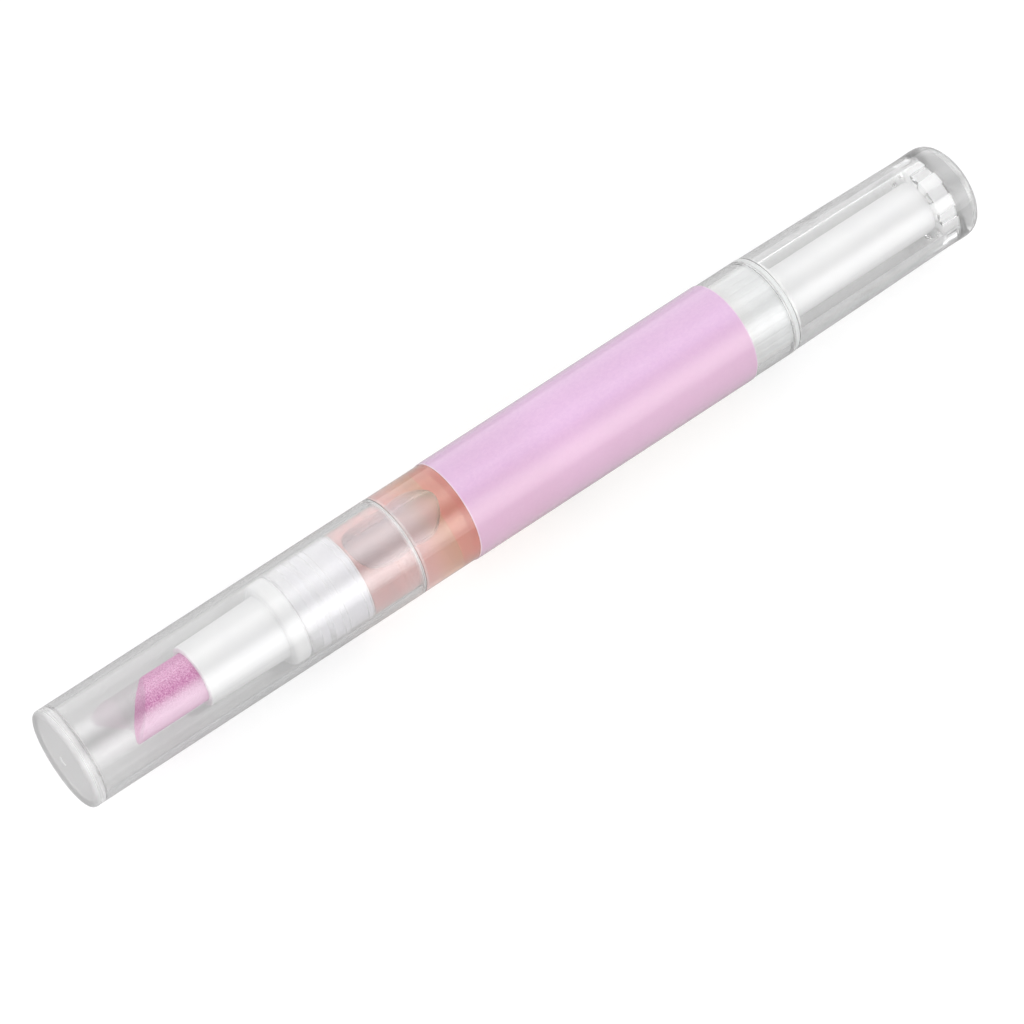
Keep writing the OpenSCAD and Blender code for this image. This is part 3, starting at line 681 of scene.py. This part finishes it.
floor_mesh = bpy.data.meshes.new("floor")
floor_mesh.from_pydata([(x * floor_half, y * floor_half, 0)
                        for x, y in ((-1, -1), (1, -1), (1, 1), (-1, 1))], [], [(0, 1, 2, 3)])
floor = bpy.data.objects.new("floor", floor_mesh)
bpy.context.scene.collection.objects.link(floor)
floor_finish, nodes, links, shader = blank_finish("white table")
shader.inputs["Base Color"].default_value = (floor_grey, floor_grey, floor_grey, 1)
shader.inputs["Roughness"].default_value = 1.0
shader.inputs["Specular IOR Level"].default_value = 0.0
shader.inputs["Emission Color"].default_value = (1, 1, 1, 1)
path = nodes.new("ShaderNodeLightPath")
seen = reckon(nodes, links, "MULTIPLY_ADD", path.outputs["Is Glossy Ray"], floor_mirrored,
              path.outputs["Is Camera Ray"])
links.new(reckon(nodes, links, "MULTIPLY", seen, floor_glow), shader.inputs["Emission Strength"])
floor_mesh.materials.append(floor_finish)

toward_camera = (0, -0.475, 0.880)      # across the pen, towards the camera
toward_front = (0, -0.8785, -0.4778)    # across the pen, a quarter turn further down
# Degrees round the pen from the camera, down its front where positive, and brightness.
studio = [(-180, 0.65), (-140, 0.9), (-108, 1.2), (-70, 0.95), (-50, 1.0), (-41, 1.25),
          (-31, 1.25), (-20, 0.85), (-10, 0.5), (0, 0.33), (8, 0.6), (16, 1.2), (25, 1.7),
          (36, 2.05), (44, 1.8), (54, 1.4), (66, 1.0), (90, 0.6), (180, 0.55)]
brightest = 2.05

world = bpy.data.worlds.new("studio")
bpy.context.scene.world = world
world.use_nodes = True
nodes, links = world.node_tree.nodes, world.node_tree.links
way = nodes.new("ShaderNodeTexCoord")
sides = []
for direction in (toward_front, toward_camera):
    dot = nodes.new("ShaderNodeVectorMath")
    dot.operation = "DOT_PRODUCT"
    dot.inputs[1].default_value = direction
    links.new(way.outputs["Generated"], dot.inputs[0])
    sides.append(dot.outputs["Value"])
turn = reckon(nodes, links, "ARCTAN2", *sides)
walls = nodes.new("ShaderNodeValToRGB")
stops = walls.color_ramp.elements
stops.remove(stops[1])
for number, (angle, level) in enumerate(studio):
    stop = stops[0] if number == 0 else stops.new(angle / 360 + 0.5)
    stop.position = angle / 360 + 0.5
    stop.color = (level / brightest, level / brightest, level / brightest, 1)
links.new(between(nodes, links, turn, -np.pi, np.pi, 0, 1), walls.inputs["Fac"])
lit = nodes["Background"]
lit.inputs["Strength"].default_value = brightest
links.new(walls.outputs["Color"], lit.inputs["Color"])
white = nodes.new("ShaderNodeBackground")
white.inputs["Color"].default_value = (1, 1, 1, 1)
path = nodes.new("ShaderNodeLightPath")
backdrop = nodes.new("ShaderNodeMixShader")
links.new(path.outputs["Is Camera Ray"], backdrop.inputs["Fac"])
links.new(lit.outputs[0], backdrop.inputs[1])
links.new(white.outputs[0], backdrop.inputs[2])
links.new(backdrop.outputs[0], nodes["World Output"].inputs["Surface"])

eye = bpy.data.cameras.new("camera")
eye.sensor_width, eye.lens = 36, 126.56
camera = bpy.data.objects.new("camera", eye)
right, up = np.array([0.78282, -0.62225, 0.0]), np.array([0.51198, 0.64410, 0.56834])
stand = (-0.15084, -0.18655, 0.34300)
pose = np.eye(4)
pose[:3, 0], pose[:3, 1], pose[:3, 2], pose[:3, 3] = right, up, np.cross(right, up), stand
camera.matrix_world = pose.T.tolist()
bpy.context.scene.collection.objects.link(camera)
bpy.context.scene.camera = camera

clear_walls = 24         # most times that light is followed through the clear walls
bpy.context.scene.view_settings.view_transform = "Standard"
bpy.context.scene.cycles.max_bounces = clear_walls
bpy.context.scene.cycles.transmission_bounces = clear_walls
bpy.context.scene.cycles.transparent_max_bounces = clear_walls
